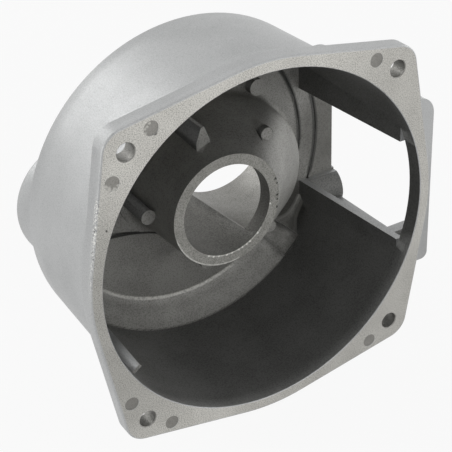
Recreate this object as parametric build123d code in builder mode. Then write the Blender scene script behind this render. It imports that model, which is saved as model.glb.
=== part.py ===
# Pump housing: one aluminium casting with a square bolt flange, a drafted bell, a bearing
# hub with an offset pocket, a side window inside a cover pad, and a rear casing.
# Millimetres. X across, Y from the flange face to the rear, Z up.
import os
from math import cos, radians, sin, tan

from build123d import *

# Flange
bolt_square = 150.0
bolt_hole_d = 9.0
corner_r = 12.0
rim_w = 6.3
flange_t = 9.0
flange_edge_r = 1.0
mouth_chamfer = 0.4

# Ejector marks on the flange face, by their distances from the bore axis. A long distance lies
# along the flange side that the mark is on. The right side has none.
mark_r = 3.75
mark_deep = 0.25
mark_near = 61.8
mark_far = 83.0

# Bell
register_r = 92.7
wall_t = 2.8
bell_draft = 2.0
bell_corner_y = 80.0
cone_angle = 46.0
back_y = 95.6
floor_t = 3.7
wall_root_r = 2.5

# Break line across the chamfer band, and the thin rib on the bell wall
band_line_angle = -49.0
band_step = 0.8
rib_angle = -143.5
rib_t = 2.0
rib_high = 5.4
rib_front_y = 13.5

# Side window and the flat jambs that it is cut through
window_low = -31.0
window_high = 28.0
jamb_front_x = 85.3
jamb_rear_x = 79.0
jamb_t = 4.1

# Cover pad round the window
pad_x = 104.3
pad_lean = 2.3
pad_front_y = 6.0
pad_below = 16.4
pad_above = 23.0
pad_high_r = 10.5
pad_low_r = 3.8
pad_rear_r = 4.0
pad_wall = 2.7
side_floor_t = 3.1

# Screw bosses in the pad, each set in from the pad's nearer edge
boss_proud = 1.5
low_boss_r = 12.4
low_boss_y = 95.0
low_boss_in = 5.4
high_boss_r = 9.0
high_boss_y = 90.0
high_boss_in = 13.5
front_boss_r = 7.5
front_boss_y = 22.0
front_boss_low_in = 7.0
front_boss_high_in = 10.6

# Flat floor at the window side, with a groove along each rim
side_low = 40.0
side_high = 45.0
side_lap = 3.0
groove_inner_r = 78.4
groove_outer_r = 89.4
groove_w = 1.5
groove_deep = 1.0

# Hub, bearing bore and its full land. Behind the land the cored wall opens by its draft angle.
hub_face_y = 41.5
hub_r = 31.8
hub_draft = 2.0
bore_r = 26.0
land_l = 9.1
bore_draft = 1.0

# Offset pocket behind the bore
pocket_x = 34.2
pocket_z = 3.8
pocket_r = 31.2
pocket_draft = 4.0
pocket_lip = 0.9

# Lobe that covers the pocket. Its outline near the floor is a closed curve through these
# points, each an angle from X and a reach beyond the hub. It starts an inset inside the hub's rim.
lobe_skirt = 9.4
lobe_inset = 0.4
lobe_wall = 4.4
lobe_root_r = 4.0
lobe_outline = [
    (83.2, 6.7),
    (49.4, 19.6),
    (-3.9, 40.4),
    (-32.9, 40.1),
    (-49.0, 27.6),
    (-68.5, 13.4),
    (-147.2, 1.5),
    (-212.3, 2.6),
]

# Ejector stubs: angle, reach of the centre beyond the hub, height above the floor, radius
stub_left = (181.9, 4.5, 31.4, 4.1)
stub_lobe = (38.6, 12.5, 35.3, 3.7)
stub_far = (40.9, 30.1, 7.9, 4.8)
stub_low = (-39.1, 12.6, 37.9, 3.4)
stub_under = (-91.3, 12.2, 27.9, 3.6)

# Pointed fin on top of the hub
fin_x = -4.6
fin_w = 8.0
fin_tip_w = 2.0
fin_shoulder = 3.7
fin_reach = 11.7
fin_high = 36.4

# Floor that sinks to the left of the hub, above a curved step
sunk_slope = 9.0
sunk_start_x = -22.0
sunk_rim_r = 73.0
sunk_root_gap = 1.5
sunk_band_w = 4.0
step_x = -51.0
step_z = -27.2
step_r = 96.4

# Rear casing: a round bump at the left, and a collar round the pocket
bump_x = -57.0
bump_z = -2.0
bump_r = 34.5
casing_l = 10.9
casing_edge_r = 6.0
casing_wall = 4.0
collar_wall = 4.5
collar_l = 6.0

# Overlap that cutting shapes take past the faces they cut
clear = 5.0

half = bolt_square / 2
corners = [(half, half), (-half, half), (-half, -half), (half, -half)]
marks = [(x, z) for x in (-mark_near, mark_near) for z in (-mark_far, mark_far)]
marks += [(-mark_far, z) for z in (-mark_near, mark_near)]
rim_r = register_r + rim_w
cone = tan(radians(cone_angle))

bell_front_r = register_r + wall_t
inner_rear_r = register_r - bell_draft
bell_rear_r = inner_rear_r + wall_t
inner_corner_y = bell_corner_y - wall_t * tan(radians(cone_angle / 2))
floor_y = back_y - floor_t
back_r = bell_rear_r - (back_y - bell_corner_y) * cone
band_inner_r = inner_rear_r - (floor_y - inner_corner_y) * cone
side_arc = side_low + side_high
side_floor_y = back_y - side_floor_t

pad_rear_x = pad_x - pad_lean
pad_low = window_low - pad_below
pad_high = window_high + pad_above
pad_outside = pad_x + clear

hub_root_r = hub_r + hub_draft
land_end_y = hub_face_y + land_l
casing_y = back_y + casing_l
collar_y = casing_y + collar_l
through_y = collar_y + clear
pocket_slope = tan(radians(pocket_draft))
pocket_rear_r = pocket_r + (collar_y - land_end_y) * pocket_slope
pocket_far_r = pocket_r + (through_y - land_end_y) * pocket_slope
bore_far_r = bore_r + (through_y - land_end_y) * tan(radians(bore_draft))
collar_r = pocket_rear_r + collar_wall
lobe_y = floor_y - lobe_skirt
lobe_front_r = hub_r - lobe_inset
pocket_open_y = back_y - pocket_lip
sunk_inner_r = hub_root_r + lobe_root_r + sunk_root_gap
sunk_deep = (sunk_start_x + sunk_rim_r) * tan(radians(sunk_slope))


def at_depth(y):
    return Plane(origin=(0, y, 0), x_dir=(1, 0, 0), z_dir=(0, -1, 0))


def spoke(angle):
    turn = radians(angle)
    return Plane(origin=(0, 0, 0), x_dir=(cos(turn), 0, sin(turn)), z_dir=(-sin(turn), 0, cos(turn)))


def beyond_hub(angle, reach):
    turn = radians(angle)
    return ((hub_r + reach) * cos(turn), (hub_r + reach) * sin(turn))


# Flange, bell and the fuller wall beside the window
with BuildPart() as bell:
    with BuildSketch(at_depth(0)) as flange_outline:
        Circle(rim_r)
        with Locations(*corners):
            Circle(corner_r)
        make_hull()
    extrude(amount=-flange_t)
    with BuildSketch(Plane.XY) as bell_half:
        with BuildLine():
            Polyline(
                (0, 0),
                (register_r, 0),
                (bell_front_r, flange_t),
                (bell_rear_r, bell_corner_y),
                (back_r, back_y),
                (0, back_y),
                close=True,
            )
        make_face()
    revolve(axis=Axis.Y)
    with BuildSketch(spoke(side_high + side_lap)) as side_half:
        with BuildLine():
            Polyline(
                (half, flange_t),
                (bell_front_r, flange_t),
                (bell_rear_r, bell_corner_y),
                (bell_rear_r, back_y),
                (half, back_y),
                close=True,
            )
        make_face()
    revolve(axis=Axis.Y, revolution_arc=side_arc + 2 * side_lap)

# Cover pad, with its outer face leaning in towards the rear
with BuildPart() as pad:
    with BuildSketch(Plane.XY.offset(pad_low)) as pad_plan:
        with BuildLine():
            Polyline(
                (half, pad_front_y),
                (pad_x, pad_front_y),
                (pad_rear_x, back_y),
                (half, back_y),
                close=True,
            )
        make_face()
    extrude(amount=pad_high - pad_low)
    fillet(pad.faces().sort_by(Axis.X)[-1].edges().sort_by(Axis.Z)[-1], pad_high_r)
    fillet(pad.faces().sort_by(Axis.X)[-1].edges().sort_by(Axis.Z)[0], pad_low_r)
    rear_edges = pad.faces().sort_by(Axis.Y)[-1].edges()
    fillet(rear_edges.filter_by(lambda edge: edge.center().X > half + clear / 2), pad_rear_r)

# Screw bosses of the cover pad, lying along X
with BuildPart() as bosses:
    with BuildSketch(Plane.YZ.offset(half)) as boss_ends:
        with Locations((low_boss_y, pad_low + low_boss_in)):
            Circle(low_boss_r)
        with Locations((high_boss_y, pad_high - high_boss_in)):
            Circle(high_boss_r)
        with Locations(
            (front_boss_y, pad_low + front_boss_low_in),
            (front_boss_y, pad_high - front_boss_high_in),
        ):
            Circle(front_boss_r)
    extrude(amount=pad_rear_x + boss_proud - half)

# Rear casing, hulled from the left bump to the pocket collar
with BuildPart() as casing:
    with BuildSketch(at_depth(bell_corner_y)) as casing_outline:
        with Locations((bump_x, bump_z)):
            Circle(bump_r)
        with Locations((pocket_x, pocket_z)):
            Circle(collar_r)
        make_hull()
    extrude(amount=bell_corner_y - casing_y)
    fillet(casing.faces().sort_by(Axis.Y)[-1].edges(), casing_edge_r)

with BuildPart() as collar:
    with BuildSketch(at_depth(bell_corner_y)) as collar_outline:
        with Locations((pocket_x, pocket_z)):
            Circle(collar_r)
    extrude(amount=bell_corner_y - collar_y)

# Room inside the bell
with BuildPart() as room:
    with BuildSketch(Plane.XY) as room_half:
        with BuildLine():
            Polyline(
                (0, -clear),
                (register_r, -clear),
                (register_r, flange_t),
                (inner_rear_r, inner_corner_y),
                (band_inner_r, floor_y),
                (0, floor_y),
                close=True,
            )
        make_face()
        wall_corner = Vector(inner_rear_r, inner_corner_y)
        fillet(room_half.vertices().sort_by_distance(wall_corner)[0], wall_root_r)
    revolve(axis=Axis.Y)

with BuildPart() as side_room:
    with BuildSketch(spoke(side_high)) as side_room_half:
        with BuildLine():
            Polyline(
                (groove_inner_r, flange_t),
                (register_r, flange_t),
                (inner_rear_r, inner_corner_y),
                (inner_rear_r, side_floor_y),
                (groove_inner_r, side_floor_y),
                close=True,
            )
        make_face()
    revolve(axis=Axis.Y, revolution_arc=side_arc)

with BuildPart() as grooves:
    for groove_r in (groove_inner_r, groove_outer_r):
        with BuildSketch(spoke(side_high)):
            with Locations((groove_r + groove_w / 2, side_floor_y)):
                Rectangle(groove_w, 2 * groove_deep)
        revolve(axis=Axis.Y, revolution_arc=side_arc)

# The chamfer band steps back a little between its break line and the flat floor
with BuildPart() as band_drop:
    with BuildSketch(spoke(band_line_angle)) as band_half:
        with BuildLine():
            Polyline(
                (inner_rear_r - band_step, inner_corner_y - band_step),
                (inner_rear_r, inner_corner_y),
                (inner_rear_r, inner_corner_y + band_step),
                (band_inner_r + band_step, floor_y),
                (band_inner_r - band_step, floor_y),
                close=True,
            )
        make_face()
    revolve(axis=Axis.Y, revolution_arc=band_line_angle + side_low)

# Jambs: solid left standing between the room and the window, flat with draft
with BuildPart() as jamb:
    with BuildSketch(Plane.XY) as jamb_plan:
        with BuildLine():
            Polyline(
                (jamb_front_x, flange_t),
                (jamb_rear_x, side_floor_y + 2 * groove_deep),
                (pad_outside, side_floor_y + 2 * groove_deep),
                (pad_outside, flange_t),
                close=True,
            )
        make_face()
    extrude(amount=half, both=True)

with BuildPart() as window:
    with BuildSketch(Plane.XY.offset(window_low)) as window_plan:
        with Locations(((half + pad_outside) / 2, (flange_t + side_floor_y) / 2)):
            Rectangle(pad_outside - half, side_floor_y - flange_t)
    extrude(amount=window_high - window_low)

with BuildPart() as pad_room:
    with BuildSketch(Plane.XY.offset(pad_low + pad_wall)) as pad_room_plan:
        with BuildLine():
            Polyline(
                (jamb_front_x + jamb_t, flange_t),
                (jamb_rear_x + jamb_t, side_floor_y),
                (pad_outside, side_floor_y),
                (pad_outside, flange_t),
                close=True,
            )
        make_face()
    extrude(amount=pad_high - pad_low - 2 * pad_wall)
    add(bosses.part, mode=Mode.SUBTRACT)

# Sinking floor: a wedge that starts beside the hub and deepens to the left
with BuildPart() as sunk_floor:
    with BuildSketch(Plane.XY) as sunk_wedge:
        with BuildLine():
            Polyline(
                (sunk_start_x, floor_y),
                (-sunk_rim_r, floor_y + sunk_deep),
                (-sunk_rim_r, floor_y - clear),
                (sunk_start_x, floor_y - clear),
                close=True,
            )
        make_face()
    extrude(amount=sunk_rim_r, both=True)
    with BuildSketch(at_depth(floor_y - clear)) as sunk_outline:
        with Locations((bump_x, bump_z)):
            Circle(bump_r - casing_wall)
        Circle(sunk_inner_r + sunk_band_w)
        make_hull()
        Circle(sunk_rim_r, mode=Mode.INTERSECT)
        Circle(sunk_inner_r, mode=Mode.SUBTRACT)
        with Locations((step_x, step_z - step_r)):
            Circle(step_r, mode=Mode.SUBTRACT)
    extrude(amount=-back_y, mode=Mode.INTERSECT)

# Hub and lobe, rounded into the bell's floor
with BuildPart() as hub:
    with BuildSketch(Plane.XY) as hub_half:
        with BuildLine():
            Polyline(
                (0, hub_face_y),
                (hub_r, hub_face_y),
                (hub_root_r, floor_y),
                (rim_r, floor_y),
                (rim_r, back_y),
                (0, back_y),
                close=True,
            )
        make_face()
    revolve(axis=Axis.Y)
    with BuildSketch(at_depth(hub_face_y)) as lobe_front:
        Circle(lobe_front_r)
    with BuildSketch(at_depth(lobe_y)) as lobe_rear:
        with BuildLine():
            Spline(*[beyond_hub(angle, reach) for angle, reach in lobe_outline], periodic=True)
        make_face()
    loft()
    extrude(lobe_rear.sketch, amount=lobe_y - back_y)
    floor_edges = hub.edges().filter_by_position(Axis.Y, floor_y, floor_y)
    fillet(floor_edges.filter_by(GeomType.BSPLINE).sort_by(SortBy.LENGTH)[-1], lobe_root_r)
    add(bell.part, mode=Mode.INTERSECT)

# Ejector stubs and fin
with BuildPart() as stubs:
    for angle, reach, high, radius in (stub_left, stub_lobe, stub_far, stub_low, stub_under):
        with BuildSketch(at_depth(floor_y - high)):
            with Locations(beyond_hub(angle, reach)):
                Circle(radius)
        extrude(amount=-high - floor_t)
    with BuildSketch(at_depth(floor_y - fin_high)) as fin:
        with BuildLine():
            Polyline(
                (fin_x - fin_w / 2, bore_r + wall_t),
                (fin_x - fin_w / 2, hub_r + fin_shoulder),
                (fin_x - fin_tip_w / 2, hub_r + fin_reach),
                (fin_x + fin_tip_w / 2, hub_r + fin_reach),
                (fin_x + fin_w / 2, hub_r + fin_shoulder),
                (fin_x + fin_w / 2, bore_r + wall_t),
                close=True,
            )
        make_face()
    extrude(amount=-fin_high - floor_t)

# Thin rib along the bell wall, rooted halfway into it
with BuildPart() as rib:
    with BuildSketch(spoke(rib_angle).offset(-rib_t / 2)) as rib_side:
        with BuildLine():
            Polyline(
                (register_r - rib_high, rib_front_y),
                (register_r + wall_t / 2, rib_front_y),
                (inner_rear_r + wall_t / 2, inner_corner_y),
                (inner_rear_r - rib_high, inner_corner_y),
                close=True,
            )
        make_face()
    extrude(amount=rib_t)

# Pocket behind the bore: a drafted round, held inside the lobe's skin as far as the floor
with BuildPart() as skin:
    with BuildSketch(at_depth(hub_face_y)) as skin_front:
        Circle(lobe_front_r - lobe_wall)
    with BuildSketch(at_depth(lobe_y)) as skin_rear:
        with BuildLine():
            Spline(*[beyond_hub(angle, reach - lobe_wall) for angle, reach in lobe_outline], periodic=True)
        make_face()
    loft()
    extrude(skin_rear.sketch, amount=lobe_y - pocket_open_y)
    with BuildSketch(at_depth(pocket_open_y)) as skin_foot:
        with Locations((pocket_x, pocket_z)):
            Circle(collar_r)
    extrude(amount=pocket_open_y - through_y)

with BuildPart() as pocket:
    with BuildSketch(at_depth(land_end_y)) as pocket_front:
        with Locations((pocket_x, pocket_z)):
            Circle(pocket_r)
    with BuildSketch(at_depth(through_y)) as pocket_rear:
        with Locations((pocket_x, pocket_z)):
            Circle(pocket_far_r)
    loft()
    add(skin.part, mode=Mode.INTERSECT)

with BuildPart() as bore:
    with BuildSketch(Plane.XY) as bore_half:
        with BuildLine():
            Polyline(
                (0, 0),
                (bore_r, 0),
                (bore_r, land_end_y),
                (bore_far_r, through_y),
                (0, through_y),
                close=True,
            )
        make_face()
    revolve(axis=Axis.Y)

# The casting
with BuildPart() as pump_housing:
    for solid in (bell, pad, bosses, casing, collar):
        add(solid.part)
    add(room.part - jamb.part, mode=Mode.SUBTRACT)
    add(hub.part)
    add(side_room.part - jamb.part, mode=Mode.SUBTRACT)
    for opening in (band_drop, window, pad_room, grooves, sunk_floor):
        add(opening.part, mode=Mode.SUBTRACT)
    for solid in (stubs, rib):
        add(solid.part)
    for opening in (bore, pocket):
        add(opening.part, mode=Mode.SUBTRACT)
    with BuildSketch(at_depth(0)) as bolt_holes:
        with Locations(*corners):
            Circle(bolt_hole_d / 2)
    extrude(amount=-2 * flange_t, mode=Mode.SUBTRACT)
    flange_face = pump_housing.faces().sort_by(Axis.Y)[0]
    fillet(flange_face.outer_wire().edges(), flange_edge_r)
    flange_face = pump_housing.faces().sort_by(Axis.Y)[0]
    chamfer([edge for wire in flange_face.inner_wires() for edge in wire.edges()], mouth_chamfer)
    with BuildSketch(at_depth(0)) as ejector_marks:
        with Locations(*marks):
            Circle(mark_r)
    extrude(amount=-mark_deep, mode=Mode.SUBTRACT)

pump_housing.part.label = "pump_housing"
os.makedirs("parts", exist_ok=True)
export_step(pump_housing.part, "parts/pump_housing.step")
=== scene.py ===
import math

import bmesh
import bpy
from mathutils import Matrix, Vector


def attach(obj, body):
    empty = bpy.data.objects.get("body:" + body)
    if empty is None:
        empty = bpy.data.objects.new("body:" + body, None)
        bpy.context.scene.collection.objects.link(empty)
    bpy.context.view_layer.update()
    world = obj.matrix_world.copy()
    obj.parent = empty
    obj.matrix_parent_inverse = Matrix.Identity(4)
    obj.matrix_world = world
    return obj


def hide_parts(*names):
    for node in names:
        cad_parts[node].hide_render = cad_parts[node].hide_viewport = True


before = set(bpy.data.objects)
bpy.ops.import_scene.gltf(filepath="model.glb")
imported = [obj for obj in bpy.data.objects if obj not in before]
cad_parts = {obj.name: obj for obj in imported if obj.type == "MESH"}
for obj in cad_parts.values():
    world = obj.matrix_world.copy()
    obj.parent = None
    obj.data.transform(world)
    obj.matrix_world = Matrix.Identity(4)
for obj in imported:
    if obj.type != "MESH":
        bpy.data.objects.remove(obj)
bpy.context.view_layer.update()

print("frame loaded:", sorted(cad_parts))


def paint(hexColour):
    # sRGB hex to the linear values that a shader wants
    channels = [int(hexColour[i:i + 2], 16) / 255 for i in (1, 3, 5)]
    return tuple(c / 12.92 if c <= 0.04045 else ((c + 0.055) / 1.055) ** 2.4 for c in channels) + (1.0,)


def addNode(tree, kind, settings=None, links=None):
    # settings are the node's own properties; links are its inputs, each a value, an output of another
    # node, or a node, which stands for its first live output
    node = tree.nodes.new("ShaderNode" + kind)
    for name, value in (settings or {}).items():
        setattr(node, name, value)
    for name, value in (links or {}).items():
        if isinstance(value, bpy.types.Node):
            value = next(output for output in value.outputs if output.enabled)
        if isinstance(value, bpy.types.NodeSocket):
            tree.links.new(value, node.inputs[name])
        else:
            node.inputs[name].default_value = value
    return node


def addObject(name, data):
    holder = bpy.data.objects.new(name, data)
    bpy.context.scene.collection.objects.link(holder)
    return holder


softly = {"interpolation_type": "SMOOTHSTEP"}
inColour = {"data_type": "RGBA"}

# What all the finishes share. A pair is the level where a pattern starts and the one where it is full.
wearAndPaintedLight = {
    "cloud": (0.35, 0.65), "spark": (0.36, 0.64), "pit": (0.5, 0.3), "edge": (0.62, 0.35),
    "gloss": (0.3, 0.7), "rougher": 0.08, "smoother": 0.06, "paintedShadeCore": 0.4,
    # what breaks up worn rims and the round of each named spot
    "raggedMm": 1.6, "patchy": (0.35, 0.62), "patchyLeast": 0.45,
    # arcs of painted highlight and painted shadow: their fading edge, their end, and how little a millimetre
    # of depth counts
    "arcOuter": 1.4, "arcInner": 4, "arcEnd": 0.88, "depthCounts": 0.2,
    # pores and named spots, in their own sizes
    "poreCore": 0.45, "poreGroup": 5, "poreEdge": 0.02, "spotRagged": 2.4, "spotOuter": 2.3, "spotInner": 1.5,
    # chips: bright crumbs and dark hollows, growing along the edge
    "crumbs": ((0.53, 0.61, "brightAndHighlight"), (0.42, 0.35, "hollowAndShadow")), "chipCore": 3,
    "growFrom": -0.1, "growTo": 0.75, "growLeast": 0.15, "endFrom": 0.9,
    "poreDepth": -3.0, "bumpShare": 0.4,
}


def coat(tree, colour, shade, pattern, levels, strength=1.0):
    # lays a shade over a colour where the pattern goes from the first level to the second
    share = addNode(tree, "MapRange", softly,
                    {"Value": pattern, "From Min": levels[0], "From Max": levels[1], "To Max": strength})
    return addNode(tree, "Mix", inColour, {0: share, 6: colour, 7: paint(shade)})


def addPaintedShades(tree, place, colour, look):
    # painted shade: broad soft darkenings where less light falls
    for x, y, z, radiusMm, strength in look["paintedShades"]:
        away = addNode(tree, "VectorMath", {"operation": "DISTANCE"}, {0: place, 1: Vector((x, y, z)) / 1000})
        reach = radiusMm / 1000
        colour = coat(tree, colour, look["paintedShadeColour"], away, (reach, reach * wearAndPaintedLight["paintedShadeCore"]), strength)
    return colour


def addArcs(tree, place, ragged, colour, look):
    # painted highlights along rims and painted shadow along seams, grooves and round stubs: thin arcs square
    # to the bore axis
    beside = addNode(tree, "VectorMath", {"operation": "MULTIPLY"}, {0: place, 1: (1, 0, 1)})
    depth = addNode(tree, "SeparateXYZ", {}, {"Vector": place}).outputs["Y"]
    for x, y, z, radiusMm, widthMm, middle, halfSpan, shade, strength in look["arcs"]:
        width, centre = widthMm / 1000, (x / 1000, 0, z / 1000)
        spoke = addNode(tree, "VectorMath", {"operation": "SUBTRACT"}, {0: beside, 1: centre})
        away = addNode(tree, "VectorMath", {"operation": "LENGTH"}, {0: spoke})
        offRadius = addNode(tree, "Math", {"operation": "SUBTRACT"}, {0: away, 1: radiusMm / 1000})
        offRadius = addNode(tree, "Math", {"operation": "ABSOLUTE"}, {0: offRadius})
        offDepth = addNode(tree, "Math", {"operation": "SUBTRACT"}, {0: depth, 1: y / 1000})
        offDepth = addNode(tree, "Math", {"operation": "ABSOLUTE"}, {0: offDepth})
        offDepth = addNode(tree, "Math", {"operation": "MULTIPLY"}, {0: offDepth, 1: wearAndPaintedLight["depthCounts"]})
        offArc = addNode(tree, "Math", {"operation": "MAXIMUM"}, {0: offRadius, 1: offDepth})
        towards = (math.cos(math.radians(middle)), 0, math.sin(math.radians(middle)))
        turned = addNode(tree, "VectorMath", {"operation": "DOT_PRODUCT"}, {0: spoke, 1: towards})
        turned = addNode(tree, "Math", {"operation": "DIVIDE"}, {0: turned, 1: away})
        span = addNode(tree, "MapRange", softly, {
            "Value": turned, "From Min": math.cos(math.radians(halfSpan)),
            "From Max": math.cos(math.radians(halfSpan * wearAndPaintedLight["arcEnd"]))})
        arc = addNode(tree, "MapRange", softly, {
            "Value": offArc, "From Min": width / wearAndPaintedLight["arcOuter"], "From Max": width / wearAndPaintedLight["arcInner"],
            "To Max": strength})
        arc = addNode(tree, "Math", {"operation": "MULTIPLY"}, {0: arc, 1: span})
        # painted highlights are broken up by noise
        if shade == "brightAndHighlight":
            patchy = addNode(tree, "MapRange", softly, {
                "Value": ragged, "From Min": wearAndPaintedLight["patchy"][0], "From Max": wearAndPaintedLight["patchy"][1],
                "To Min": wearAndPaintedLight["patchyLeast"]})
            arc = addNode(tree, "Math", {"operation": "MULTIPLY"}, {0: arc, 1: patchy})
        colour = addNode(tree, "Mix", inColour, {0: arc, 6: colour, 7: paint(look[shade])})
    return colour


def addPores(tree, place, ragged, colour, look):
    # small round craters where a slow noise lets them be, and the marks that have places of their own
    cellMm, bare = look["poreCellMm"], 1 - look["poreShare"]
    cells = addNode(tree, "TexVoronoi", {}, {"Vector": place, "Scale": 1000 / cellMm, "Randomness": 1.0})
    crater = addNode(tree, "MapRange", softly, {
        "Value": cells.outputs["Distance"], "From Min": look["poreR"],
        "From Max": look["poreR"] * wearAndPaintedLight["poreCore"]})
    slow = addNode(tree, "TexNoise", {}, {
        "Vector": place, "Scale": 1000 / (cellMm * wearAndPaintedLight["poreGroup"]), "Detail": 3.0, "Roughness": 0.6})
    where = addNode(tree, "MapRange", softly, {
        "Value": slow, "From Min": bare, "From Max": bare + wearAndPaintedLight["poreEdge"]})
    pore = addNode(tree, "Math", {"operation": "MULTIPLY"}, {0: crater, 1: where})
    colour = addNode(tree, "Mix", inColour, {0: pore, 6: colour, 7: paint(look["pit"])})
    # spots are dark pores and scuffs; nicks are bright wear marks, and on the hub's inner rim painted glints
    for marks, shade in (("spots", "hollowAndShadow"), ("nicksAndGlints", "brightAndHighlight")):
        for x, y, z, sizeMm in look[marks]:
            size, centre = sizeMm / 1000, Vector((x, y, z)) / 1000
            away = addNode(tree, "VectorMath", {"operation": "DISTANCE"}, {0: place, 1: centre})
            outline = addNode(tree, "Math", {"operation": "MULTIPLY_ADD"},
                              {0: ragged, 1: size * wearAndPaintedLight["spotRagged"], 2: away})
            spot = addNode(tree, "MapRange", softly, {
                "Value": outline, "From Min": size * wearAndPaintedLight["spotOuter"], "From Max": size * wearAndPaintedLight["spotInner"]})
            colour = addNode(tree, "Mix", inColour, {0: spot, 6: colour, 7: paint(look[shade])})
            if marks == "spots":
                pore = addNode(tree, "Math", {"operation": "MAXIMUM"}, {0: pore, 1: spot})
    return colour, pore


def addChips(tree, place, colour, look):
    # the flange's left edge is chipped all along: bright crumbs with dark hollows between them
    chips = look["chips"]
    start, end = Vector(chips["start"]) / 1000, Vector(chips["end"]) / 1000
    run, width = (end - start).length, chips["widthMm"] / 1000
    along = (end - start).normalized()
    fromStart = addNode(tree, "VectorMath", {"operation": "SUBTRACT"}, {0: place, 1: start})
    travel = addNode(tree, "VectorMath", {"operation": "DOT_PRODUCT"}, {0: fromStart, 1: along})
    foot = addNode(tree, "VectorMath", {"operation": "SCALE"}, {0: along, "Scale": travel})
    away = addNode(tree, "VectorMath", {"operation": "DISTANCE"}, {0: fromStart, 1: foot})
    beside = addNode(tree, "MapRange", softly,
                     {"Value": away, "From Min": width, "From Max": width / wearAndPaintedLight["chipCore"]})
    growing = addNode(tree, "MapRange", softly, {
        "Value": travel, "From Min": wearAndPaintedLight["growFrom"] * run, "From Max": wearAndPaintedLight["growTo"] * run,
        "To Min": wearAndPaintedLight["growLeast"]})
    ending = addNode(tree, "MapRange", softly, {
        "Value": travel, "From Min": run, "From Max": wearAndPaintedLight["endFrom"] * run})
    there = addNode(tree, "Math", {"operation": "MULTIPLY"}, {0: beside, 1: growing})
    there = addNode(tree, "Math", {"operation": "MULTIPLY"}, {0: there, 1: ending})
    crumbs = addNode(tree, "TexNoise", {}, {
        "Vector": place, "Scale": 1000 / chips["crumbMm"], "Detail": 2.0, "Roughness": 0.7})
    for low, high, shade in wearAndPaintedLight["crumbs"]:
        share = addNode(tree, "MapRange", softly, {"Value": crumbs, "From Min": low, "From Max": high})
        share = addNode(tree, "Math", {"operation": "MULTIPLY"}, {0: share, 1: there})
        colour = addNode(tree, "Mix", inColour, {0: share, 6: colour, 7: paint(look[shade])})
    return colour


def castAluminium(name, look):
    material = bpy.data.materials.new(name)
    material.use_nodes = True
    tree = material.node_tree
    tree.nodes.clear()
    place = addNode(tree, "TexCoord").outputs["Object"]

    fine = addNode(tree, "TexNoise", {}, {
        "Vector": place, "Scale": 1000 / look["gritMm"], "Detail": 2.0, "Roughness": 0.6})
    cloud = addNode(tree, "TexNoise", {}, {
        "Vector": place, "Scale": 1000 / look["cloudMm"], "Detail": 4.0, "Roughness": 0.6})
    colour = coat(tree, paint(look["dark"]), look["light"], cloud, wearAndPaintedLight["cloud"])
    colour = coat(tree, colour, look["spark"], fine, wearAndPaintedLight["spark"], look["gritShows"])
    colour = coat(tree, colour, look["pit"], fine, wearAndPaintedLight["pit"], look["gritShows"])

    colour = addPaintedShades(tree, place, colour, look)
    ragged = addNode(tree, "TexNoise", {}, {
        "Vector": place, "Scale": 1000 / wearAndPaintedLight["raggedMm"], "Detail": 3.0, "Roughness": 0.6})
    colour = addArcs(tree, place, ragged, colour, look)
    colour, pore = addPores(tree, place, ragged, colour, look)
    if look["chips"]:
        colour = addChips(tree, place, colour, look)

    # worn edges catch the light: the hidden side of a corner is near
    edge = addNode(tree, "AmbientOcclusion", {"inside": True, "samples": 8},
                   {"Distance": look["edgeMm"] / 1000})
    colour = coat(tree, colour, look["edge"], edge.outputs["AO"], wearAndPaintedLight["edge"], look["edgeShows"])

    height = addNode(tree, "Math", {"operation": "MULTIPLY_ADD"}, {0: pore, 1: wearAndPaintedLight["poreDepth"], 2: fine})
    bump = addNode(tree, "Bump", {}, {
        "Strength": look["bump"], "Distance": look["gritMm"] / 1000 * wearAndPaintedLight["bumpShare"], "Height": height})
    roughness = addNode(tree, "MapRange", softly, {
        "Value": fine, "From Min": wearAndPaintedLight["gloss"][0], "From Max": wearAndPaintedLight["gloss"][1],
        "To Min": look["rough"] + wearAndPaintedLight["rougher"], "To Max": look["rough"] - wearAndPaintedLight["smoother"]})
    shader = addNode(tree, "BsdfPrincipled", {}, {
        "Base Color": colour, "Metallic": look["metallic"], "Roughness": roughness, "Normal": bump})
    addNode(tree, "OutputMaterial", {}, {"Surface": shader})
    return material


# Die-cast aluminium after shot blasting: an even satin light grey. The real grit is about
# 0.2 mm and is drawn three times as coarse, because finer grit vanishes at this size.
# Every place is x, y and z in millimetres.
blastedSkin = {
    "light": "#b3b4b4", "dark": "#aaabab", "spark": "#c3c4c4", "pit": "#969797", "edge": "#bebebc",
    "hollowAndShadow": "#55544f", "brightAndHighlight": "#e9e8e2", "paintedShadeColour": "#55544f",
    "gritMm": 0.6, "gritShows": 0.3, "cloudMm": 45, "poreCellMm": 6, "poreR": 0.1, "poreShare": 0.3,
    "edgeMm": 0.8, "edgeShows": 0.25, "bump": 0.25, "metallic": 0.8, "rough": 0.5,
    "chips": {"start": (-98.9, 1.2, 4), "end": (-89.5, 1.2, 58), "widthMm": 2.3, "crumbMm": 0.9},
    "paintedShades": [(110, 45, -40, 75, 0.22)],  # painted shade on the cover pad's right side: place, radius and strength
    "arcs": [],  # painted highlights and shadows: place, radius, width, middle angle from X, half the angle it spans, shade and strength
    "spots": [(-94.5, 22, 30, 1.6), (-94, 24.5, 27, 1.0)],  # place and size: a scuff on the left of the bell
    "nicksAndGlints": [],  # the same for bright marks
}
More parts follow.
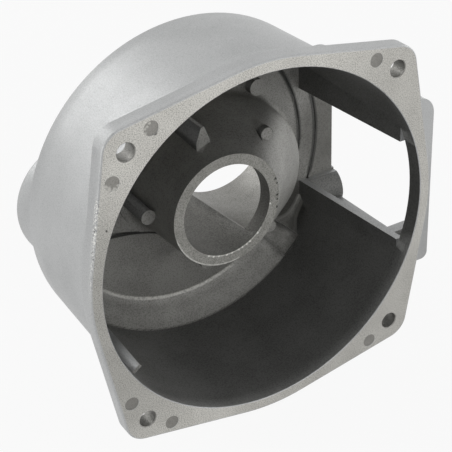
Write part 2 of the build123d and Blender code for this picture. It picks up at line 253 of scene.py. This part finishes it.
# The flange face as it leaves the die and a light linishing: warm, sparkling, grainy
groundFace = dict(
    blastedSkin, light="#c9c7c1", dark="#b7b5af", spark="#efede7", pit="#8a8882", edge="#dedcd6",
    gritMm=0.55, gritShows=0.6, cloudMm=22, poreCellMm=4, poreR=0.14, poreShare=0.32,
    edgeMm=1.0, edgeShows=0.4, bump=0.35, metallic=0.6,
    spots=[(-60, 0, 80.5, 1.5), (-88, 0, 39, 0.9), (-96.5, 0, -39, 1.2), (-95.4, 0, -44, 2.4)],
    # painted shade: darker towards the lower left most, and at the lower right and the upper right, for light
    # falling off across the face
    paintedShades=[(-98, 0, -18, 92, 0.34), (75, 0, -98, 120, 0.26), (98, 0, 60, 75, 0.18)])
# Where an ejector pin pushed the hot casting out: a flat, smoother and darker round
ejectorFlat = dict(
    groundFace, light="#989691", dark="#8c8a85", spark="#a6a49f", pit="#7d7b76", brightAndHighlight="#c6c4be",
    gritShows=0.35, bump=0.2, spots=[], chips=None,
    # the two at the upper left are half rubbed away
    nicksAndGlints=[(-84.6, 0.25, 59.0, 1.7), (-82.0, 0.25, 58.6, 1.5), (-86.0, 0.25, 61.2, 1.1),
           (-80.2, 0.25, 60.0, 0.9), (-64.6, 0.25, 83.2, 0.9), (-63.4, 0.25, 84.2, 0.8),
           (-62.3, 0.25, 85.4, 0.8), (-64.8, 0.25, 80.8, 1.2)])
# Unblasted skin in the bell, darkened by die release and partly by painted shade, as the bell is hardly lit
innerCast = dict(
    blastedSkin, light="#727270", dark="#646462", spark="#858582", pit="#464644", edge="#9f9f9b",
    gritMm=0.8, gritShows=0.35, cloudMm=28, metallic=0.4, rough=0.55, edgeShows=0.3,
    paintedShades=[], spots=[], chips=None)
# Floor and lobe at the bottom of the bell, drawn lighter than its walls: painted light on faces that look out
# of the bell
floorCast = dict(
    innerCast, light="#9d9c98", dark="#8b8a86", spark="#b1b0ab", pit="#5b5a56", edge="#bcbbb6",
    hollowAndShadow="#1f1f1c", cloudMm=20,
    # painted shade on the floor right of the lobe and by the window
    paintedShades=[(76, 87, -50, 27, 0.45), (104, 92.5, 0, 36, 0.6), (104, 92.5, -24, 24, 0.4),
            (70, 90, -46, 17, 0.4)],
    arcs=[
        (0, 91.9, 0, 77.4, 1.7, -115, 52, "brightAndHighlight", 0.56),  # painted highlight on the ridge that the band and the floor share
        (-51, 91.9, -123.6, 97.0, 1.3, 86, 19, "hollowAndShadow", 0.9),  # painted shadow at the foot of the curved step
        (0, 92.5, 0, 79.0, 3.3, 24, 30, "hollowAndShadow", 0.75),  # the two grooves, with painted shade along them
        (0, 92.5, 0, 90.2, 3.3, 8, 28, "hollowAndShadow", 0.85),
        (34.6, 57.5, 27.6, 4.2, 1.4, 100, 110, "hollowAndShadow", 0.85),  # painted shadow round the stubs on the lobe and beyond it
        (46.8, 86, 40.5, 5.3, 1.3, 175, 70, "hollowAndShadow", 0.85),
        (34.5, 57, -28.0, 4.0, 1.8, -25, 85, "hollowAndShadow", 0.9),
    ])
# The hub's ring face, rough-turned: coarse grain with open pores, most along its right rim
hubRing = {
    # glints are painted highlights along the inner rim's lower side
    "y": 41.5, "innerR": 26.6, "glintMm": 0.7,
    "glintAngles": (-10, -48, -61, -66, -72, -77, -86, -93, -104, -111, -118),
}
hubFace = dict(
    groundFace, light="#93928d", dark="#83827d", spark="#b4b3ad", pit="#5d5c57", hollowAndShadow="#33322e",
    brightAndHighlight="#e8e7e1", poreCellMm=5, poreR=0.18, gritShows=0.42, chips=None,
    spots=[(30.2, 41.5, 9.3, 1.2), (30.7, 41.5, 6.4, 0.7), (30.6, 41.5, -0.6, 0.8), (30.5, 41.5, -3.2, 0.7),
           (30.3, 41.5, -7.7, 1.0), (28, 41.5, 15.5, 0.6)],
    # painted glints along the lower inner rim
    nicksAndGlints=[(hubRing["innerR"] * math.cos(math.radians(angle)), hubRing["y"],
            hubRing["innerR"] * math.sin(math.radians(angle)), hubRing["glintMm"])
           for angle in hubRing["glintAngles"]],
    # painted shade on the upper part of the face
    paintedShades=[(-8, 41.5, 34, 34, 0.14)],
    # painted highlights along the lower outer rim and the lower inner rim
    arcs=[(0, 41.5, 0, 31.5, 0.9, -122, 46, "brightAndHighlight", 0.6), (0, 41.5, 0, 26.4, 0.8, -80, 42, "brightAndHighlight", 0.5)])
# The bore's wall, dull and drawn dark like the room's walls: painted shade
boreTurned = dict(
    floorCast, light="#757470", dark="#666561", spark="#8c8b85", gritShows=0.5, paintedShades=[], arcs=[])
# The pocket's wall, drawn light: painted light where light comes in through the open back
pocketCast = dict(
    blastedSkin, light="#93928e", dark="#868581", spark="#a2a19d", pit="#62615d", gritShows=0.5, cloudMm=14,
    paintedShades=[], spots=[], chips=None)

finishes = {
    "skin": castAluminium("blasted_cast_aluminium", blastedSkin),
    "face": castAluminium("linished_cast_aluminium_flange", groundFace),
    "mark": castAluminium("ejector_marked_cast_aluminium", ejectorFlat),
    "wall": castAluminium("raw_cast_aluminium_wall", innerCast),
    "floor": castAluminium("raw_cast_aluminium_floor", floorCast),
    "hub": castAluminium("turned_cast_aluminium_hub", hubFace),
    "pocket": castAluminium("drafted_cast_aluminium_pocket", pocketCast),
    "bore": castAluminium("turned_cast_aluminium_bore", boreTurned),
}
print("finishes made:", len(finishes))

# Where each finish lies, in millimetres: radii from the bore axis, depths from the flange face
zones = {
    "frontY": 0.02, "edgeY": 1, "flangeT": 9.0, "markY": 0.25, "roomR": 93.5, "wallR": 78.6, "backY": 95.5,
    "hubFaceY": 41.5, "hubR": 31.9, "boreR": 26.0, "landEndY": 50.6, "boreGrows": 0.0175,
    "pocketX": 34.2, "pocketZ": 3.8, "pocketR": 31.2, "pocketGrows": 0.07, "pocketBefore": 1,
    "windowX": 75.5, "padX": 103.5, "windowHalf": 32, "insidePad": 48, "pastFlange": 1,
    "boltAt": 75, "boltR": 5.2, "boltPast": 0.5, "sideFloorY": 92.5, "stepX": -15, "stepY": 91.5,
    "stubX": -36.3, "stubZ": -1.2, "stubR": 4.1, "finX": -4.6, "finHalf": 4.4, "finTipZ": 44,
    "near": 0.4, "skim": 0.05,
    # how squarely a face looks a given way, as the share of its normal
    "square": 0.99, "steep": 0.9, "slant": 0.3, "drafted": 0.01,
    "stepFaces": 0.5, "stubFaces": 0.95, "finFaces": 0.8,
}


def finishAt(centre, normal):
    z = zones
    x, y, up = centre * 1000
    r = math.hypot(x, up)
    outward = (normal.x * x + normal.z * up) / max(r, 1)
    facesFront = normal.y < -z["square"]
    if facesFront and y < z["frontY"]:
        return "face"
    if facesFront and y < z["markY"] + z["skim"]:
        return "mark"
    fromBolt = math.hypot(abs(x) - z["boltAt"], abs(up) - z["boltAt"])
    if y < z["flangeT"] + z["boltPast"] and fromBolt < z["boltR"]:
        return "pocket"
    if y < z["flangeT"] + z["skim"]:
        return "wall" if outward < -z["steep"] and r < z["roomR"] and y > z["edgeY"] else "skin"
    if facesFront and abs(y - z["hubFaceY"]) < z["skim"] and r < z["hubR"]:
        return "hub"
    behindLand = max(y - z["landEndY"], 0)
    inBore = r < z["boreR"] + behindLand * z["boreGrows"] + z["near"]
    if y > z["hubFaceY"] and inBore and outward < -z["steep"]:
        return "bore"
    pocketSide = math.hypot(x - z["pocketX"], up - z["pocketZ"])
    inPocket = pocketSide < z["pocketR"] + behindLand * z["pocketGrows"] + z["near"]
    if y > z["landEndY"] - z["pocketBefore"] and inPocket and z["drafted"] < normal.y < z["square"]:
        return "pocket"
    if y > z["backY"]:
        return "skin"
    if x > z["windowX"] and normal.z > z["steep"] and -z["insidePad"] < up < 0:
        return "skin"
    if facesFront and abs(y - z["sideFloorY"]) < z["skim"]:
        return "floor"
    # the step's upward face gets the darker wall finish: painted shadow
    if normal.z > z["stepFaces"] and x < z["stepX"] and y > z["stepY"] and r < z["wallR"]:
        return "wall"
    # sides of the left stub and of the pointed fin get the darker wall finish: painted shade
    fromStub = Vector((x - z["stubX"], 0, up - z["stubZ"]))
    awayFromStub = fromStub.normalized().dot(normal) > z["stubFaces"]
    onStub = abs(fromStub.length - z["stubR"]) < z["near"] and awayFromStub
    inFin = abs(x - z["finX"]) < z["finHalf"] and z["hubR"] < up < z["finTipZ"]
    onFin = inFin and abs(normal.x) > z["finFaces"]
    if abs(normal.y) < z["slant"] and z["landEndY"] < y < z["stepY"] and (onStub or onFin):
        return "wall"
    leansFront = normal.y < -z["slant"]
    if x > z["wallR"] and leansFront and abs(up) < z["insidePad"] and y > z["flangeT"] + z["pastFlange"]:
        return "wall"
    if r < z["wallR"] or leansFront and r < z["roomR"]:
        return "floor"
    if outward < -z["slant"] and r < z["roomR"]:
        return "wall"
    if z["windowX"] < x < z["padX"] and abs(up) < z["windowHalf"]:
        return "wall"
    return "skin"


# Which faces are shaded with their own exact normals, in millimetres
shading = {
    "smoothUpTo": math.radians(28), "mergeWithin": 1e-6,
    "squareOn": 0.99999, "padFlatsX": 78, "padFace": 0.99, "padLevel": 1e-4,
    "sunkSlope": math.radians(9), "sunkWithin": 1e-5, "sunkLevel": 1e-3,
    # the cover pad's screw bosses lie along X: y, z and radius of each
    "bosses": [(95, -42, 12.4), (90, 37.5, 9), (22, -40.4, 7.5), (22, 40.4, 7.5)],
    "bossLevel": 0.02, "bossWithin": 0.02,
}


def isFlat(face):
    # faces square to the bore axis, the sunk floor's plane, and the cover pad's own flat faces
    s, normal = shading, face.normal
    onPad = face.center.x * 1000 > s["padFlatsX"]
    padOutside = abs(normal.x) > s["padFace"] and abs(normal.z) < s["padLevel"]
    padFlat = onPad and (padOutside or abs(normal.z) > s["squareOn"])
    sunk = abs(normal.y + math.cos(s["sunkSlope"])) < s["sunkWithin"] and abs(normal.z) < s["sunkLevel"]
    return sunk or padFlat or abs(normal.y) > s["squareOn"]


def trueNormals(face, corners):
    # exact normals at the corners of a flat or of a screw boss, or none
    if isFlat(face):
        return [face.normal.copy()] * len(corners)
    for y, z, radius in shading["bosses"]:
        spokes = [Vector((0, corner.y - y / 1000, corner.z - z / 1000)) for corner in corners]
        onBoss = all(abs(spoke.length - radius / 1000) < shading["bossWithin"] / 1000 for spoke in spokes)
        if onBoss and abs(face.normal.x) < shading["bossLevel"]:
            return [spoke.normalized() for spoke in spokes]
    return []


def settleNormals(mesh):
    # flats and bosses are shaded exactly, and a fillet starts from its neighbour's own normal
    trueAt, ownNormals = {}, {}
    for face in mesh.polygons:
        exact = trueNormals(face, [mesh.vertices[vertex].co for vertex in face.vertices])
        ownNormals[face.index] = exact
        for vertex, normal in zip(face.vertices, exact):
            trueAt.setdefault(vertex, []).append(normal)
    normals = [corner.vector.copy() for corner in mesh.corner_normals]
    for face in mesh.polygons:
        exact = ownNormals[face.index]
        for turn, (corner, vertex) in enumerate(zip(face.loop_indices, face.vertices)):
            near = [normal for normal in trueAt.get(vertex, [])
                    if normal.angle(face.normal) < shading["smoothUpTo"]]
            if exact:
                normals[corner] = exact[turn].copy()
            elif near:
                normals[corner] = min(near, key=face.normal.angle).copy()
    mesh.normals_split_custom_set(normals)


def dressHousing():
    mesh = bpy.data.meshes.new("housing_merged")
    work = bmesh.new()
    work.from_mesh(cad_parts["pump_housing"].data)
    bmesh.ops.remove_doubles(work, verts=work.verts, dist=shading["mergeWithin"])
    work.to_mesh(mesh)
    work.free()
    piece = addObject("housing_casting", mesh)
    order = list(finishes)
    counts = dict.fromkeys(order, 0)
    for finish in finishes.values():
        mesh.materials.append(finish)
    for face in mesh.polygons:
        finish = finishAt(face.center, face.normal)
        face.material_index = order.index(finish)
        face.use_smooth = True
        counts[finish] += 1
    mesh.set_sharp_from_angle(angle=shading["smoothUpTo"])
    settleNormals(mesh)
    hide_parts("pump_housing")
    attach(piece, "root")
    print("casting dressed, faces per finish:", counts)


# Cove between floor and wall, from the end of the chamfer band to the lower jamb, in millimetres
wallCove = {
    "floorY": 92.5, "wallR": 90.7, "sunk": 0.6, "arcSteps": 12, "sharpFrom": math.radians(40),
    # angle from X, and how far the cove reaches along floor and wall
    "sizes": [(-41.5, 12.2), (-40, 11.8), (-39, 10.4), (-38, 8.7), (-37, 7.1), (-36, 5.9), (-35, 5.0),
              (-33, 4.3), (-31, 3.9), (-27, 3.7)],
}


def makeCove():
    c = wallCove
    rings = []
    for angle, size in c["sizes"]:
        turn = math.radians(angle)
        section = []
        for step in range(c["arcSteps"] + 1):
            sweep = math.pi / 2 * step / c["arcSteps"]
            fromWall, fromFloor = size * (1 - math.sin(sweep)), size * (1 - math.cos(sweep))
            section.append((c["wallR"] - fromWall, c["floorY"] - fromFloor))
        # the back of the section lies inside the casting
        section.append((c["wallR"] + c["sunk"], c["floorY"] - size))
        section.append((c["wallR"] + c["sunk"], c["floorY"] + c["sunk"]))
        section.append((c["wallR"] - size, c["floorY"] + c["sunk"]))
        rings.append([(r / 1000 * math.cos(turn), y / 1000, r / 1000 * math.sin(turn)) for r, y in section])
    work = bmesh.new()
    loops = [[work.verts.new(point) for point in ring] for ring in rings]
    for first, second in zip(loops, loops[1:]):
        for i in range(len(first)):
            j = (i + 1) % len(first)
            work.faces.new((first[i], first[j], second[j], second[i]))
    work.faces.new(loops[0][::-1])
    work.faces.new(loops[-1])
    bmesh.ops.recalc_face_normals(work, faces=work.faces)
    mesh = bpy.data.meshes.new("wall_cove")
    work.to_mesh(mesh)
    work.free()
    piece = addObject("wall_cove", mesh)
    mesh.materials.append(finishes["floor"])
    for face in mesh.polygons:
        face.use_smooth = True
    mesh.set_sharp_from_angle(angle=c["sharpFrom"])
    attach(piece, "root")


dressHousing()
makeCove()
print("cove made")

# Floor and light, in metres
studio = {
    "floorZ": -0.101, "floorSize": 6.0, "floorColour": "#d2d2d2", "floorGlow": 0.92, "white": (1, 1, 1, 1),
    "worldColour": "#f4f6f8", "worldStrength": 0.37,
    "aim": (0.0, 0.045, 0.0),
    # name, place, size across and power of each lamp
    "lamps": [
        ("rear_high_softbox", (-0.5, 1.45, 0.75), 1.0, 5.3),
        ("left_softbox", (-1.5, 0.3, 0.3), 0.8, 6.2),
        ("window_softbox", (1.5, 0.1, 0.35), 0.8, 5.2),
        ("front_softbox", (0.6, -1.3, 0.15), 0.8, 3.0),
    ],
}


def addLamp(name, place, size, power):
    lamp = bpy.data.lights.new(name, "AREA")
    lamp.shape = "DISK"
    lamp.size = size
    lamp.energy = power
    holder = addObject(name, lamp)
    holder.location = place
    holder.rotation_euler = (Vector(studio["aim"]) - Vector(place)).to_track_quat("-Z", "Y").to_euler()


def whiteToViewer(tree):
    # seen straight, in a gloss or through glass, so that every view has the same white ground
    path = addNode(tree, "LightPath")
    seen = path.outputs["Is Camera Ray"]
    for kind in ("Is Glossy Ray", "Is Transmission Ray"):
        seen = addNode(tree, "Math", {"operation": "MAXIMUM"}, {0: seen, 1: path.outputs[kind]})
    return seen


def makeFloor():
    half = studio["floorSize"] / 2
    z = studio["floorZ"]
    mesh = bpy.data.meshes.new("studio_floor")
    corners = [(-half, -half, z), (half, -half, z), (half, half, z), (-half, half, z)]
    mesh.from_pydata(corners, [], [(0, 1, 2, 3)])
    floor = addObject("studio_floor", mesh)
    material = bpy.data.materials.new("white_studio_floor")
    material.use_nodes = True
    tree = material.node_tree
    tree.nodes.clear()
    matt = addNode(tree, "BsdfDiffuse", {}, {"Color": paint(studio["floorColour"])})
    glow = addNode(tree, "Emission", {}, {"Color": studio["white"], "Strength": 1.0})
    share = addNode(tree, "Math", {"operation": "MULTIPLY"}, {0: whiteToViewer(tree), 1: studio["floorGlow"]})
    both = addNode(tree, "MixShader", {}, {0: share, 1: matt, 2: glow})
    addNode(tree, "OutputMaterial", {}, {"Surface": both})
    mesh.materials.append(material)


def makeWorld():
    world = bpy.data.worlds.new("white_studio")
    bpy.context.scene.world = world
    world.use_nodes = True
    tree = world.node_tree
    tree.nodes.clear()
    around = addNode(tree, "Background", {}, {
        "Color": paint(studio["worldColour"]), "Strength": studio["worldStrength"]})
    seen = addNode(tree, "Background", {}, {"Color": studio["white"], "Strength": 1.0})
    both = addNode(tree, "MixShader", {}, {0: whiteToViewer(tree), 1: around, 2: seen})
    addNode(tree, "OutputWorld", {}, {"Surface": both})


# The photograph's view, in metres, with the lens and the sensor in millimetres
photoCamera = {
    "lens": 105.17, "sensor": 36, "clipStart": 0.01, "place": (-0.297356, -0.463976, 0.345886),
    "right": (0.85172, -0.52287, -0.03439), "up": (0.29625, 0.42637, 0.85466),
    "ahead": (0.43221, 0.73812, -0.51805),
}


def makeCamera():
    view = photoCamera
    camera = bpy.data.cameras.new("photo_camera")
    camera.lens = view["lens"]
    camera.sensor_width = view["sensor"]
    camera.clip_start = view["clipStart"]
    holder = addObject("photo_camera", camera)
    matrix = Matrix((view["right"], view["up"], -Vector(view["ahead"]))).transposed().to_4x4()
    matrix.translation = Vector(view["place"])
    holder.matrix_world = matrix
    bpy.context.scene.camera = holder


makeFloor()
makeWorld()
for lamp in studio["lamps"]:
    addLamp(*lamp)
makeCamera()
bpy.context.scene.view_settings.view_transform = "Standard"
print("studio ready")
